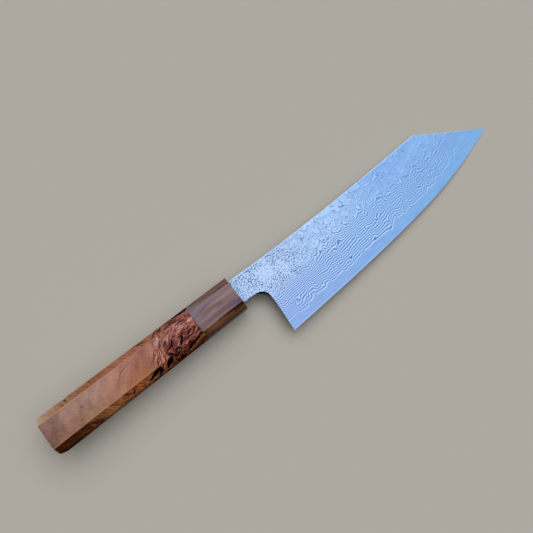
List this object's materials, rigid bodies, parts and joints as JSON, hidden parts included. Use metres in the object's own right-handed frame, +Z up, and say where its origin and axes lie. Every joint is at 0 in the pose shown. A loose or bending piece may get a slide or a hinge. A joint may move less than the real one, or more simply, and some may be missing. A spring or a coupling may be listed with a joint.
{
  "type": "bunka knife",
  "caption": "Bunka kitchen knife lying on its side: laminated damascus blade with a straight clipped tip, marbled horn ferrule and tapered octagonal burl-wood handle.",
  "frame": {"origin": "centre of the bounding box's bottom face, on the surface that the knife lies on", "axes": "+X along the handle axis towards the tip, which dips 2.76 degrees because the knife rests on its ferrule and its tip; +Y towards the spine; +Z up, out of the blade's right-hand face"},
  "size_m": [0.3118, 0.0494, 0.025],
  "materials": {
    "core_steel": "satin",
    "damascus_cladding": "satin",
    "buffalo_horn": "satin",
    "burl_wood": "satin",
    "dowel_wood": "matte",
    "bedding_resin": "gloss"
  },
  "bodies": {
    "root": {"core_steel": "core_steel", "right_cladding": "damascus_cladding", "left_cladding": "damascus_cladding", "horn_ferrule": "buffalo_horn", "handle_body": "burl_wood", "tang_dowel": "dowel_wood", "tang_resin": "bedding_resin"}
  },
  "joints": []
}
